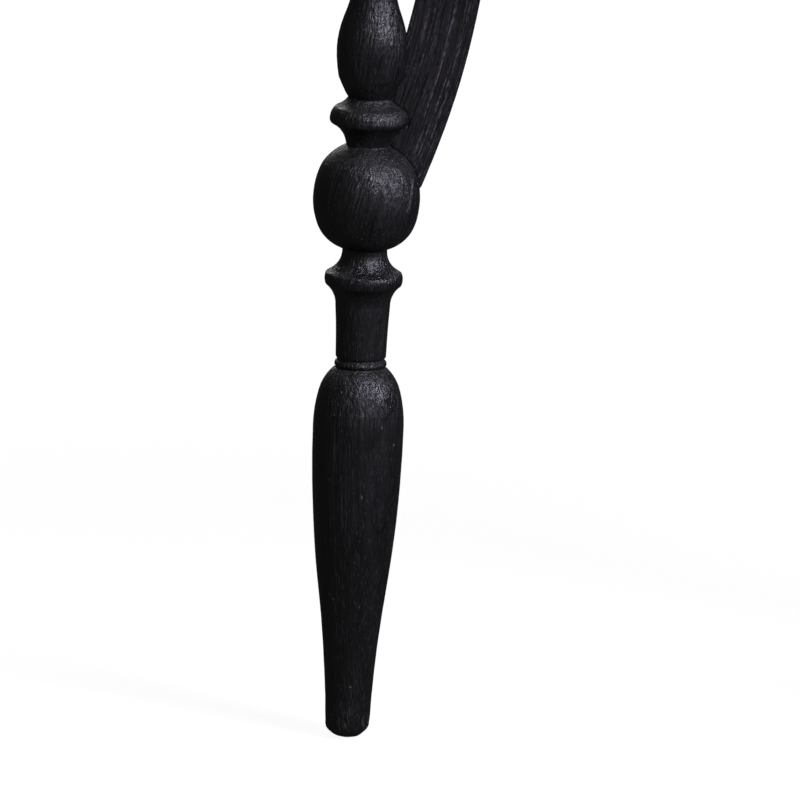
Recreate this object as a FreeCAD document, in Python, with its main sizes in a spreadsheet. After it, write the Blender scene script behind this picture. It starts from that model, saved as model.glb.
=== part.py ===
import FreeCAD, Part

# A joined, three-legged neck rest in dark stained wood. A saddle-shaped rest stands on one turned leg at the left
# and a splayed pair at the right, and a curved sawn brace rises from the ball of each leg to the rest's underside.
# The legs' tenons and the braces' tenons go right through the rest and are wedged; a peg pins each brace into its
# ball. Millimetres and degrees, +Z up. The feet stand on Z = 0 and the rest's long axis lies along X.

import math
import os

import Sketcher
from FreeCAD import Placement, Rotation, Vector

doc = FreeCAD.newDocument("NeckRest")
sheet = doc.addObject("Spreadsheet::Sheet", "Sizes")

DIMENSIONS = {
    # the rest
    "rest_length": 206,
    "rest_plank_width": 76,
    "rest_plank_length": 216,
    "rest_end_width": 42,
    "rest_side_round": 700,
    "rest_end_round": 60,
    "rest_corner": 11,
    "rest_bottom_height": 164,
    "rest_bottom_round": 235,
    "rest_top_height": 181,
    "rest_top_round": 270,
    "rest_top_edge": 5,
    "rest_bottom_edge": 3,
    # how the legs stand
    "lean": 2.1,
    "splay": 9.3,
    "left_foot_reach": 82.4,
    "right_foot_reach": 76.4,
    "right_foot_spread": 45,
    "foot_wear": 0.3,
    # the curved braces, in the leg's own upright frame
    "brace_thickness": 6,
    "brace_setback": 1.5,
    "brace_outer_foot": 7.3,
    "brace_outer_bottom": 105,
    "brace_outer_head": 23.1,
    "brace_outer_round": 176.2,
    "brace_inner_bottom": 120,
    "brace_inner_head": 10.9,
    "brace_inner_round": 146,
    "brace_top": 178,
    # the brace's tenons
    "brace_tenon_thickness": 4,
    "ball_tenon_width": 6,
    "ball_tenon_reach": 4.6,
    "ball_tenon_height": 113,
    "ball_tenon_length": 9,
    "ball_tenon_tilt": 21,
    "head_tenon_width": 8,
    "head_tenon_reach": 16.6,
    "head_tenon_height": 163,
    "head_tenon_length": 34,
    "head_tenon_tilt": 2.3,
    # pegs, wedges and fits
    "peg_radius": 1,
    "peg_reach": 5.6,
    "peg_height": 115.6,
    "peg_blind_end": 3.5,
    "peg_length": 12.2,
    "wedge_thickness": 1.1,
    "wedge_depth": 8,
    "wedge_proud": 1.5,
    "joint_gap": 0.1,
    # how far the shapes that trim others reach past them
    "trim_room": 20,
}

# The turning, from the foot's tip to the end of the through tenon. Each place has its radius, its height above the
# tip and the round of the outline from there to the next place: above zero it swells, below zero it is hollow and
# zero is straight.
TURNING = [
    ("foot_edge", 3.7, 1.6, 2.0),
    ("foot_side", 4.4, 3.3, -265),
    ("shin", 6.7, 30.3, 241),
    ("calf", 9.05, 63.9, 28.5),
    ("calf_top", 8.15, 71.0, 9.9),
    ("bead_foot", 4.95, 76.1, 0.9),
    ("bead_top", 4.7, 77.5, 0),
    ("ankle", 5.0, 78.2, -180),
    ("collar_hollow", 5.4, 88.3, -5.4),
    ("collar_foot", 7.55, 92.8, 3.2),
    ("collar_edge", 7.55, 95.1, 0),
    ("collar_top", 6.95, 95.5, -4.6),
    ("ball_foot", 4.5, 100.2, 7.9),
    ("ball_lower", 9.65, 104.8, 14.2),
    ("ball_middle", 10.6, 111.2, 14.0),
    ("ball_upper", 9.05, 117.1, 10.5),
    ("ball_top", 4.5, 121.0, -5.3),
    ("disc_foot", 7.7, 125.5, 1.3),
    ("disc_rim", 7.9, 126.5, 3.2),
    ("disc_top", 6.85, 128.7, -5.1),
    ("vase_foot", 4.4, 130.6, 40),
    ("vase_lower", 6.45, 134.8, 29.3),
    ("vase_middle", 7.0, 140.6, 20),
    ("vase_upper", 5.8, 146.8, -30.5),
    ("throat", 3.7, 158.3, 0),
    ("ring_foot", 4.0, 158.7, 1.5),
    ("ring_top", 4.0, 161.3, -12),
    ("head_foot", 5.6, 168.8, 0),
    ("head_top", 5.6, 180.7, 0),
    ("tenon_foot", 3.2, 180.7, 0),
    ("tenon_top", 3.2, 199.0, 0),
]
FOOT_ROUND = 5.2


def fill_sheet():
    """Writes every driving dimension into the sheet under its own name."""
    cells = dict(DIMENSIONS)
    cells["foot_round"] = FOOT_ROUND
    for name, radius, height, outline_round in TURNING:
        cells[name + "_radius"] = radius
        cells[name + "_height"] = height
        if outline_round:
            cells[name + "_round"] = abs(outline_round)
    for row, (name, value) in enumerate(cells.items(), start=1):
        sheet.set(f"A{row}", name)
        sheet.set(f"B{row}", str(value))
        sheet.setAlias(f"B{row}", name)
    doc.recompute()


def size(name):
    """The sheet's value of that name."""
    return float(sheet.get(name))


def cell(name):
    """How an expression names that value of the sheet."""
    return f"{sheet.Name}.{name}"


def new_sketch(body, name, plane_role):
    """An empty sketch on one of the body's own origin planes."""
    sketch = body.newObject("Sketcher::SketchObject", name)
    plane = next(p for p in body.Origin.OriginFeatures if p.Role == plane_role)
    sketch.AttachmentSupport = [(plane, "")]
    sketch.MapMode = "FlatFace"
    return sketch


def arc_between(start, end, outline_round):
    """The arc that swells to the right of the way from start to end, or to the left when the round is negative."""
    chord = end - start
    leftward = Vector(-chord.y, chord.x, 0).normalize()
    depth = math.sqrt(outline_round**2 - (chord.Length / 2) ** 2)
    centre = (start + end) * 0.5 + leftward * math.copysign(depth, outline_round)
    angles = [math.atan2(p.y - centre.y, p.x - centre.x) for p in (start, end)]
    if outline_round < 0:
        angles.reverse()
    circle = Part.Circle(centre, Vector(0, 0, 1), abs(outline_round))
    return Part.ArcOfCircle(circle, *angles)


def draw_outline(sketch, points, rounds, round_names):
    """Draws the closed outline through the points. rounds[i] shapes the edge from point i to the next one, and
    round_names[i] is the cell that holds it. Returns, for each point, the edge and the end of it that lie there."""
    ends = []
    for i, start in enumerate(points):
        end = points[(i + 1) % len(points)]
        if rounds[i]:
            edge = sketch.addGeometry(arc_between(start, end, rounds[i]))
            ends.append((edge, 1, 2) if rounds[i] > 0 else (edge, 2, 1))
        else:
            edge = sketch.addGeometry(Part.LineSegment(start, end))
            ends.append((edge, 1, 2))
    for i, (edge, _, last) in enumerate(ends):
        following, first, _ = ends[(i + 1) % len(ends)]
        sketch.addConstraint(Sketcher.Constraint("Coincident", edge, last, following, first))
    for (edge, _, _), outline_round, name in zip(ends, rounds, round_names):
        if outline_round:
            held = sketch.addConstraint(Sketcher.Constraint("Radius", edge, abs(outline_round)))
            sketch.setExpression(f"Constraints[{held}]", name)
    return [(edge, first) for edge, first, _ in ends]


def hold(sketch, corner, direction, value, expression):
    """Holds a corner at its distance from the sketch's origin along X or Y."""
    held = sketch.addConstraint(Sketcher.Constraint("Distance" + direction, -1, 1, *corner, value))
    sketch.setExpression(f"Constraints[{held}]", expression)


def pad(body, sketch, name, thickness):
    """Pads the sketch to both sides of its plane by half the thickness each."""
    feature = body.newObject("PartDesign::Pad", name)
    feature.Profile = sketch
    feature.SideType = "Symmetric"
    feature.setExpression("Length", thickness)
    sketch.Visibility = False
    return feature


def turned_body(label, slack=None):
    """The turning as a body of its own, thicker by the slack where it is only a shape to scribe against."""
    body = doc.addObject("PartDesign::Body", label)
    sketch = new_sketch(body, label + "_outline", "XZ_Plane")
    extra = size(slack) if slack else 0
    plus = f" + {cell(slack)}" if slack else ""
    tip = Vector(0, -extra, 0)
    tail = Vector(0, size("tenon_top_height"), 0)
    points = [tip] + [Vector(radius + extra, height, 0) for _, radius, height, _ in TURNING] + [tail]
    rounds = [FOOT_ROUND + extra] + [r for _, _, _, r in TURNING] + [0]
    names = [cell("foot_round") + plus]
    names += [cell(name + "_round") for name, _, _, _ in TURNING] + [""]
    corners = draw_outline(sketch, points, rounds, names)
    if slack:
        sketch.addConstraint(Sketcher.Constraint("PointOnObject", *corners[0], -2))
        hold(sketch, corners[0], "Y", -extra, "-" + cell(slack))
    else:
        sketch.addConstraint(Sketcher.Constraint("Coincident", *corners[0], -1, 1))
    for (name, radius, height, _), corner in zip(TURNING, corners[1:]):
        hold(sketch, corner, "X", radius + extra, cell(name + "_radius") + plus)
        hold(sketch, corner, "Y", height, cell(name + "_height"))
    sketch.addConstraint(Sketcher.Constraint("PointOnObject", *corners[-1], -2))
    sketch.addConstraint(Sketcher.Constraint("Horizontal", corners[-2][0]))
    feature = body.newObject("PartDesign::Revolution", label + "_turning")
    feature.Profile = sketch
    feature.ReferenceAxis = (sketch, ["V_Axis"])
    feature.Angle = 360
    sketch.Visibility = False
    return body


def cylinder(label, radius, height, place):
    """A round tool or peg: radius and height are expressions, and it stands at the placement along its Z."""
    tool = doc.addObject("Part::Cylinder", label)
    tool.setExpression("Radius", radius)
    tool.setExpression("Height", height)
    tool.Placement = place
    return tool


def upright_box(label, width, thickness, height, place):
    """A box centred on the placement's own Z axis, with its foot at the placement."""
    tool = doc.addObject("Part::Box", label)
    tool.setExpression("Length", width)
    tool.setExpression("Width", thickness)
    tool.setExpression("Height", height)
    doc.recompute()
    centring = Vector(-tool.Length.Value / 2, -tool.Width.Value / 2, 0)
    tool.Placement = place.multiply(Placement(centring, Rotation()))
    return tool


def cut(label, base, tools):
    """The base less the tools, which have to take something off it."""
    tool = tools[0]
    if len(tools) > 1:
        tool = doc.addObject("Part::MultiFuse", label + "_tools")
        tool.Shapes = tools
    result = doc.addObject("Part::Cut", label)
    result.Base = base
    result.Tool = tool
    doc.recompute()
    check_document()
    if not result.Shape.Volume < base.Shape.Volume - 1e-3:
        raise RuntimeError(f"{label}: nothing was cut")
    return result


def fuse(label, pieces):
    """The pieces joined into one solid."""
    result = doc.addObject("Part::MultiFuse", label)
    result.Shapes = pieces
    result.Refine = True
    doc.recompute()
    return result


def common(label, first, second):
    """What the two shapes share."""
    result = doc.addObject("Part::Common", label)
    result.Base = first
    result.Tool = second
    doc.recompute()
    return result


# --- the rest ---------------------------------------------------------------------------------------------------


def rest_body():
    """The saddle: a side outline of two arcs, cut to its plan, with rounded corners and edges."""
    body = doc.addObject("PartDesign::Body", "rest_blank")
    side = new_sketch(body, "rest_side", "XZ_Plane")
    half = size("rest_plank_length") / 2
    low = size("rest_bottom_height") + rise(size("rest_bottom_round"), half)
    high = size("rest_top_height") + rise(size("rest_top_round"), half)
    points = [Vector(-half, low), Vector(half, low), Vector(half, high), Vector(-half, high)]
    rounds = [size("rest_bottom_round"), 0, -size("rest_top_round"), 0]
    names = [cell("rest_bottom_round"), "", cell("rest_top_round"), ""]
    corners = draw_outline(side, points, rounds, names)
    half_text = f"{cell('rest_plank_length')} / 2"
    hold(side, corners[1], "X", half, half_text)
    hold(side, corners[1], "Y", low, rise_text("rest_bottom", half_text))
    hold(side, corners[2], "X", half, half_text)
    hold(side, corners[2], "Y", high, rise_text("rest_top", half_text))
    for right, left in ((corners[1], corners[0]), (corners[2], corners[3])):
        side.addConstraint(Sketcher.Constraint("Symmetric", *left, *right, -2))
    pad(body, side, "rest_plank", cell("rest_plank_width"))
    doc.recompute()
    trim_to_plan(body)
    doc.recompute()
    uprights = [f"Edge{i}" for i, edge in enumerate(body.Shape.Edges, start=1) if is_upright(edge)]
    edge_round(body, "rest_corners", uprights, "rest_corner")
    edge_round(body, "rest_top_rim", [curved_face(body.Shape, size("rest_top_round"))], "rest_top_edge")
    edge_round(body, "rest_bottom_rim", [curved_face(body.Shape, size("rest_bottom_round"))], "rest_bottom_edge")
    return body


def rise(arc_round, reach):
    """How far an arc of that round has risen at that distance from its lowest place."""
    return arc_round - math.sqrt(arc_round**2 - reach**2)


def rise_text(surface, reach):
    """The same as an expression, added to the surface's lowest height."""
    arc_round = cell(surface + "_round")
    return f"{cell(surface + '_height')} + {arc_round} - sqrt({arc_round}^2 - ({reach})^2)"


def trim_to_plan(body):
    """Cuts away what lies outside the plan: bowed long sides and bowed ends inside a larger rectangle."""
    plan = new_sketch(body, "rest_plan", "XY_Plane")
    reach = size("rest_length") / 2 - rise(size("rest_end_round"), size("rest_end_width") / 2)
    half_width = size("rest_end_width") / 2
    points = [Vector(-reach, -half_width), Vector(reach, -half_width), Vector(reach, half_width)]
    points.append(Vector(-reach, half_width))
    sides = ["rest_side_round", "rest_end_round"] * 2
    corners = draw_outline(plan, points, [size(s) for s in sides], [cell(s) for s in sides])
    end_round = cell("rest_end_round")
    reach_text = f"{cell('rest_length')} / 2 - {end_round} + sqrt({end_round}^2 - ({cell('rest_end_width')} / 2)^2)"
    hold(plan, corners[2], "X", reach, reach_text)
    hold(plan, corners[2], "Y", half_width, f"{cell('rest_end_width')} / 2")
    plan.addConstraint(Sketcher.Constraint("Symmetric", *corners[3], *corners[2], -2))
    plan.addConstraint(Sketcher.Constraint("Symmetric", *corners[1], *corners[2], -1))
    plan.addConstraint(Sketcher.Constraint("Symmetric", *corners[0], *corners[3], -1))
    far = Vector(reach + size("trim_room"), half_width + size("trim_room"))
    frame = [Vector(-far.x, -far.y), Vector(far.x, -far.y), far, Vector(-far.x, far.y)]
    held = draw_outline(plan, frame, [0] * 4, [""] * 4)
    for edge, _ in held[::2]:
        plan.addConstraint(Sketcher.Constraint("Horizontal", edge))
    for edge, _ in held[1::2]:
        plan.addConstraint(Sketcher.Constraint("Vertical", edge))
    plan.addConstraint(Sketcher.Constraint("Symmetric", *held[0], *held[2], -1, 1))
    hold(plan, held[2], "X", far.x, f"{reach_text} + {cell('trim_room')}")
    hold(plan, held[2], "Y", far.y, f"{cell('rest_end_width')} / 2 + {cell('trim_room')}")
    before = body.Shape.Volume
    feature = body.newObject("PartDesign::Pocket", "rest_trim")
    feature.Profile = plan
    feature.Type = "ThroughAll"
    feature.SideType = "Symmetric"
    plan.Visibility = False
    doc.recompute()
    if not body.Shape.Volume < before - 1:
        raise RuntimeError("the plan cut nothing off the rest")


def is_upright(edge):
    """True for a straight edge that stands along Z."""
    if len(edge.Vertexes) < 2:
        return False
    along = edge.Vertexes[1].Point - edge.Vertexes[0].Point
    return abs(along.z) > 1 and abs(along.x) < 1e-6 and abs(along.y) < 1e-6


def curved_face(shape, face_round):
    """The name of the face that is a cylinder of that round."""
    for i, face in enumerate(shape.Faces, start=1):
        if isinstance(face.Surface, Part.Cylinder) and abs(face.Surface.Radius - face_round) < 1e-6:
            return f"Face{i}"
    raise RuntimeError(f"no face has the round {face_round}")


def edge_round(body, name, places, radius_name):
    """Rounds the named edges, or all edges of the named faces."""
    base = body.Tip
    feature = body.newObject("PartDesign::Fillet", name)
    feature.Base = (base, places)
    feature.setExpression("Radius", cell(radius_name))
    doc.recompute()
    check_document()


def space_above_rest():
    """A solid that fills the space above the saddle's curve, to trim wedged tenons flush with it."""
    body = doc.addObject("PartDesign::Body", "space_above")
    outline = new_sketch(body, "space_outline", "XZ_Plane")
    half = size("rest_length") / 2
    edge_height = size("rest_top_height") + rise(size("rest_top_round"), half)
    roof = edge_height + size("trim_room")
    points = [Vector(-half, edge_height), Vector(half, edge_height), Vector(half, roof), Vector(-half, roof)]
    names = [cell("rest_top_round"), "", "", ""]
    corners = draw_outline(outline, points, [size("rest_top_round"), 0, 0, 0], names)
    half_text = f"{cell('rest_length')} / 2"
    edge_text = rise_text("rest_top", half_text)
    hold(outline, corners[1], "X", half, half_text)
    hold(outline, corners[1], "Y", edge_height, edge_text)
    hold(outline, corners[2], "X", half, half_text)
    hold(outline, corners[2], "Y", roof, f"{edge_text} + {cell('trim_room')}")
    for right, left in ((corners[1], corners[0]), (corners[2], corners[3])):
        outline.addConstraint(Sketcher.Constraint("Symmetric", *left, *right, -2))
    pad(body, outline, "space_pad", cell("rest_plank_width"))
    doc.recompute()
    return body


def floor_block():
    """The floor that the feet are cut level with."""
    block = doc.addObject("Part::Box", "floor")
    block.setExpression("Length", f"{cell('rest_length')} + 2 * {cell('trim_room')}")
    block.setExpression("Width", f"4 * {cell('right_foot_spread')}")
    block.setExpression("Height", cell("trim_room"))
    doc.recompute()
    block.Placement.Base = Vector(-block.Length.Value / 2, -block.Width.Value / 2, -block.Height.Value)
    return block


# --- one leg with its brace, in the leg's own upright frame -------------------------------------------------------


def leaning(reach, height, tilt):
    """A placement in the brace's middle plane, leaning towards +X by the tilt."""
    return Placement(
        Vector(size(reach), size("brace_setback"), size(height)),
        Rotation(Vector(0, 1, 0), size(tilt)),
    )


def tenon(label, which, slack=""):
    """The brace's tenon at the ball or at the head, or with slack the mortise that takes it."""
    place = leaning(f"{which}_tenon_reach", f"{which}_tenon_height", f"{which}_tenon_tilt")
    return upright_box(
        label,
        cell(which + "_tenon_width") + 2 * slack,
        cell("brace_tenon_thickness") + 2 * slack,
        cell(which + "_tenon_length"),
        place.multiply(Placement(Vector(0, 0, -size("joint_gap") if slack else 0), Rotation())),
    )


def peg(label, slack=""):
    """The peg that pins the brace's tenon in the ball, driven from the back, or with slack its hole."""
    back = size("peg_length") - size("peg_blind_end")
    place = Placement(Vector(size("peg_reach"), back, size("peg_height")), Rotation(Vector(1, 0, 0), 90))
    return cylinder(label, cell("peg_radius") + slack, cell("peg_length") + slack, place)


def brace_board(label):
    """The sawn board between its two arcs, before it is scribed to the leg and the rest."""
    body = doc.addObject("PartDesign::Body", label)
    sketch = new_sketch(body, label + "_outline", "XZ_Plane")
    sketch.setExpression("AttachmentOffset.Base.z", "-" + cell("brace_setback"))
    inner_centre = size("brace_inner_head") - size("brace_inner_round")
    inner_drop = size("brace_top") - size("brace_inner_bottom")
    inner_foot = inner_centre + math.sqrt(size("brace_inner_round") ** 2 - inner_drop**2)
    points = [
        Vector(size("brace_outer_foot"), size("brace_outer_bottom")),
        Vector(size("brace_outer_head"), size("brace_top")),
        Vector(size("brace_inner_head"), size("brace_top")),
        Vector(inner_foot, size("brace_inner_bottom")),
    ]
    rounds = [size("brace_outer_round"), 0, -size("brace_inner_round"), 0]
    names = [cell("brace_outer_round"), "", cell("brace_inner_round"), ""]
    corners = draw_outline(sketch, points, rounds, names)
    hold(sketch, corners[0], "X", points[0].x, cell("brace_outer_foot"))
    hold(sketch, corners[0], "Y", points[0].y, cell("brace_outer_bottom"))
    hold(sketch, corners[1], "X", points[1].x, cell("brace_outer_head"))
    hold(sketch, corners[1], "Y", points[1].y, cell("brace_top"))
    hold(sketch, corners[2], "X", points[2].x, cell("brace_inner_head"))
    hold(sketch, corners[2], "Y", points[2].y, cell("brace_top"))
    hold(sketch, corners[3], "Y", points[3].y, cell("brace_inner_bottom"))
    inner_arc = corners[2][0]
    sketch.addConstraint(Sketcher.Constraint("Horizontal", *corners[2], inner_arc, 3))
    pad(body, sketch, label + "_pad", cell("brace_thickness"))
    return body


def wedge(label, width, place):
    """A thin wedge with its point down. Its head stands proud of the saddle and is trimmed with the tenon."""
    body = doc.addObject("PartDesign::Body", label)
    sketch = new_sketch(body, label + "_outline", "XZ_Plane")
    half = size("wedge_thickness") / 2
    depth = size("wedge_depth")
    points = [Vector(0, 0), Vector(half, depth), Vector(-half, depth)]
    corners = draw_outline(sketch, points, [0] * 3, [""] * 3)
    sketch.addConstraint(Sketcher.Constraint("Coincident", *corners[0], -1, 1))
    hold(sketch, corners[1], "X", half, cell("wedge_thickness") + " / 2")
    hold(sketch, corners[1], "Y", depth, cell("wedge_depth"))
    sketch.addConstraint(Sketcher.Constraint("Symmetric", *corners[2], *corners[1], -2))
    pad(body, sketch, label + "_pad", width)
    body.Placement = place
    return body


def stand(side):
    """Where a leg's own frame stands: the left leg leans in along X, and the right legs face it and splay."""
    lean = Rotation(Vector(0, 1, 0), size("lean"))
    if side == "left":
        return Placement(Vector(-size("left_foot_reach"), 0, -size("foot_wear")), lean)
    towards_back = 1 if side == "rear_right" else -1
    foot = Vector(size("right_foot_reach"), towards_back * size("right_foot_spread"), -size("foot_wear"))
    turned_round = Rotation(Vector(0, 0, 1), 180)
    splayed = Rotation(Vector(1, 0, 0), towards_back * size("splay"))
    return Placement(foot, splayed.multiply(turned_round).multiply(lean))


def at_stand(piece, place):
    """Moves a finished piece from the leg's own frame to where the leg stands."""
    piece.Placement = place.multiply(piece.Placement)
    return piece


def leg_set(side, rest, floor, above):
    """One leg, its brace, wedges and peg. Returns the finished pieces and the tools that cut the rest for them."""
    place = stand(side)
    gap = " + " + cell("joint_gap")

    turning = turned_body(side + "_turning")
    saddle_at_leg = saddle_height(place, 0)
    leg_wedge_raw = wedge(
        side + "_leg_wedge_blank",
        f"2 * {cell('tenon_foot_radius')} + {cell('wedge_proud')}",
        Placement(Vector(0, 0, saddle_at_leg + size("wedge_proud") - size("wedge_depth")), Rotation()),
    )
    leg_fitted = cut(
        side + "_leg_fitted",
        turning,
        [tenon(side + "_ball_mortise", "ball", gap), peg(side + "_peg_hole", gap), leg_wedge_raw],
    )
    leg = cut(side + "_leg", at_stand(leg_fitted, place), [floor, above])

    scribe = turned_body(side + "_scribe", "joint_gap")
    board = cut(side + "_board", brace_board(side + "_brace_blank"), [scribe])
    board = cut(side + "_board_shouldered", at_stand(board, place), [rest])
    head_reach = size("head_tenon_reach")
    saddle_at_head = saddle_height(place, head_reach)
    head_place = leaning("head_tenon_reach", "head_tenon_height", "head_tenon_tilt")
    up_tenon = saddle_at_head - size("head_tenon_height") + size("wedge_proud") - size("wedge_depth")
    brace_wedge_raw = wedge(
        side + "_brace_wedge_blank",
        cell("brace_tenon_thickness"),
        head_place.multiply(Placement(Vector(0, 0, up_tenon), Rotation())),
    )
    ball_tenon = at_stand(tenon(side + "_ball_tenon", "ball"), place)
    head_tenon = at_stand(tenon(side + "_head_tenon", "head"), place)
    joined = fuse(side + "_brace_joined", [board, ball_tenon, head_tenon])
    peg_bore = at_stand(peg(side + "_peg_bore", gap), place)
    brace_wedge_slot = at_stand(brace_wedge_raw, place)
    brace = cut(side + "_brace", joined, [peg_bore, brace_wedge_slot, above])

    core = cylinder(side + "_tenon_core", cell("tenon_foot_radius"), cell("tenon_top_height"), Placement())
    leg_wedge_round = common(side + "_leg_wedge_round", leg_wedge_raw, core)
    leg_wedge = cut(side + "_leg_wedge", at_stand(leg_wedge_round, place), [above])
    brace_wedge = cut(side + "_brace_wedge", brace_wedge_slot, [above])
    brace_peg = at_stand(peg(side + "_brace_peg"), place)

    shoulder = Placement(Vector(0, 0, size("head_foot_height")), Rotation())
    housing = cylinder(
        side + "_housing",
        cell("head_foot_radius") + gap,
        f"{cell('head_top_height')} - {cell('head_foot_height')}",
        shoulder,
    )
    bore = cylinder(side + "_tenon_bore", cell("tenon_foot_radius") + gap, cell("tenon_top_height"), Placement())
    mortise = tenon(side + "_head_mortise", "head", gap)
    finished = [leg, brace, leg_wedge, brace_wedge, brace_peg]
    return finished, [at_stand(tool, place) for tool in (housing, bore, mortise)]


def saddle_height(place, reach):
    """The height, along a leg's own axis, at which the saddle is met above a place that far in from the leg."""
    height = size("rest_top_height")
    for _ in range(5):
        point = place.multVec(Vector(reach, 0, height))
        target = size("rest_top_height") + rise(size("rest_top_round"), abs(point.x))
        height += target - point.z
    return height


def check_document():
    """Stops if any object of the document failed to compute."""
    for thing in doc.Objects:
        if "Invalid" in thing.State or "Error" in thing.State:
            raise RuntimeError(f"{thing.Name} failed: {thing.State}")


def write_parts(pieces):
    """Checks every finished piece and writes it under its label."""
    os.makedirs("parts", exist_ok=True)
    for piece in pieces:
        shape = piece.Shape
        if shape.isNull() or not shape.isValid() or len(shape.Solids) != 1:
            raise RuntimeError(f"{piece.Label} is not one valid solid: {len(shape.Solids)}")
        shape.exportStep(f"parts/{piece.Label}.step")
        box = shape.BoundBox
        print(f"{piece.Label}: {shape.Volume:.1f} mm3, Z {box.ZMin:.2f} to {box.ZMax:.2f}")


fill_sheet()
rest_blank = rest_body()
above_rest = space_above_rest()
ground = floor_block()
finished_pieces = []
rest_tools = []
for leg_side in ("left", "front_right", "rear_right"):
    made, tools_for_rest = leg_set(leg_side, rest_blank, ground, above_rest)
    finished_pieces += made
    rest_tools += tools_for_rest
finished_pieces.append(cut("neck_rest", rest_blank, rest_tools))
doc.recompute()
check_document()
write_parts(finished_pieces)
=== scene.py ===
import math

import bmesh
import bpy
import numpy as np
from mathutils import Euler, Matrix, Vector


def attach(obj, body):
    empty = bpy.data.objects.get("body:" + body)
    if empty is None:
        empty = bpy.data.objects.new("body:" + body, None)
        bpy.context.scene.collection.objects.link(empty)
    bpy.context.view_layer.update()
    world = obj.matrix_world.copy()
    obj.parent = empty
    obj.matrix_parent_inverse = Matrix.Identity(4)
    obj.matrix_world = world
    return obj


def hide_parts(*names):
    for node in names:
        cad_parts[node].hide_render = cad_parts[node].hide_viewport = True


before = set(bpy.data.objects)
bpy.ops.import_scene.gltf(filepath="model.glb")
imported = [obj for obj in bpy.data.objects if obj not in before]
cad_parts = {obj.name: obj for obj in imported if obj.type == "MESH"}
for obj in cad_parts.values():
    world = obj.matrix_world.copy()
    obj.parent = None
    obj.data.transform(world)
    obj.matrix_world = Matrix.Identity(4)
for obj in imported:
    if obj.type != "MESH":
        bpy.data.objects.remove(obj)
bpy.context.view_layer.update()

# A headrest in black-stained wood: a curved rest on three turned legs, each with a sawn brace.
# Lengths are in metres, and in millimetres where a comment or docstring says so.

MM = 0.001
SIDES = ("left", "front_right", "rear_right")

# How each leg stands: its foot on the floor, its turn to face the left leg, and its splay.
LEAN = math.radians(2.1)
SPLAY = math.radians(9.3)
FOOT_WEAR = 0.3 * MM
STANDS = {
    "left": (Vector((-82.4, 0, 0)) * MM, 0, 0),
    "front_right": (Vector((76.4, -45, 0)) * MM, math.pi, -SPLAY),
    "rear_right": (Vector((76.4, 45, 0)) * MM, math.pi, SPLAY),
}

# The curve of the saddle that the neck lies on.
SADDLE_LOW = 181 * MM
SADDLE_ROUND = 270 * MM

# Where each piece was cut from its billet, in mm, so that no two show the same grain.
LEG_BILLET = np.array([7, 13, 0])
BRACE_BILLET = np.array([31, 11, 7])
REST_BILLET = np.array([9, 4, 40])


def stand_of(side):
    """The matrix from a leg's own upright frame to where the leg stands."""
    foot, turned, splay = STANDS[side]
    facing = Matrix.Rotation(splay, 4, "X") @ Matrix.Rotation(turned, 4, "Z")
    turn = facing @ Matrix.Rotation(LEAN, 4, "Y")
    return Matrix.Translation(foot - Vector((0, 0, FOOT_WEAR))) @ turn


def moved(points, matrix):
    """The points of an array after the matrix."""
    m = np.array(matrix)
    return points @ m[:3, :3].T + m[:3, 3]


def saddle_height(x):
    """The height of the saddle's curve over that place."""
    return SADDLE_LOW + SADDLE_ROUND - np.sqrt(SADDLE_ROUND**2 - x**2)


# --- meshes -------------------------------------------------------------------------------------


def points_of(mesh):
    """A mesh's vertices as an array."""
    flat = np.empty(len(mesh.vertices) * 3, np.float32)
    mesh.vertices.foreach_get("co", flat)
    return flat.reshape(-1, 3).astype(float)


def put_points(mesh, points):
    """Moves a mesh's vertices to the array's points."""
    mesh.vertices.foreach_set("co", points.astype(np.float32).ravel())
    mesh.update()


def new_piece(name, points, faces):
    """An object made of those points and faces."""
    mesh = bpy.data.meshes.new(name)
    mesh.from_pydata(points.tolist(), [], faces)
    mesh.validate()
    piece = bpy.data.objects.new(name, mesh)
    bpy.context.collection.objects.link(piece)
    return piece


def normals_of(mesh):
    """Which way a mesh faces at each vertex."""
    flat = np.empty(len(mesh.vertices) * 3, np.float32)
    mesh.vertices.foreach_get("normal", flat)
    return flat.reshape(-1, 3).astype(float)


def edges_of(mesh):
    """The two ends of each edge, as rows of vertex numbers."""
    flat = np.empty(len(mesh.edges) * 2, np.int32)
    mesh.edges.foreach_get("vertices", flat)
    return flat.reshape(-1, 2)


def spread_over(values, edges, rounds):
    """Evens out a value over the mesh by averaging along its edges."""
    a, b = edges.T
    count = np.bincount(a, minlength=len(values)) + np.bincount(b, minlength=len(values))
    for _ in range(rounds):
        total = np.bincount(a, values[b], len(values)) + np.bincount(b, values[a], len(values))
        values = 0.5 * values + 0.5 * total / np.maximum(count, 1)
    return values


def keep_value(mesh, name, values):
    """Stores a value or a place at each point, for the finish to read."""
    kind, field = ("FLOAT_VECTOR", "vector") if values.ndim == 2 else ("FLOAT", "value")
    layer = mesh.attributes.new(name, kind, "POINT")
    layer.data.foreach_set(field, values.astype(np.float32).ravel())


# How sharply the surface bends where wear or dust starts, and how much more until it is full.
ARRIS_FROM, ARRIS_RANGE = 0.12, 0.5
HOLLOW_FROM, HOLLOW_RANGE = 0.05, 0.3


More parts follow.
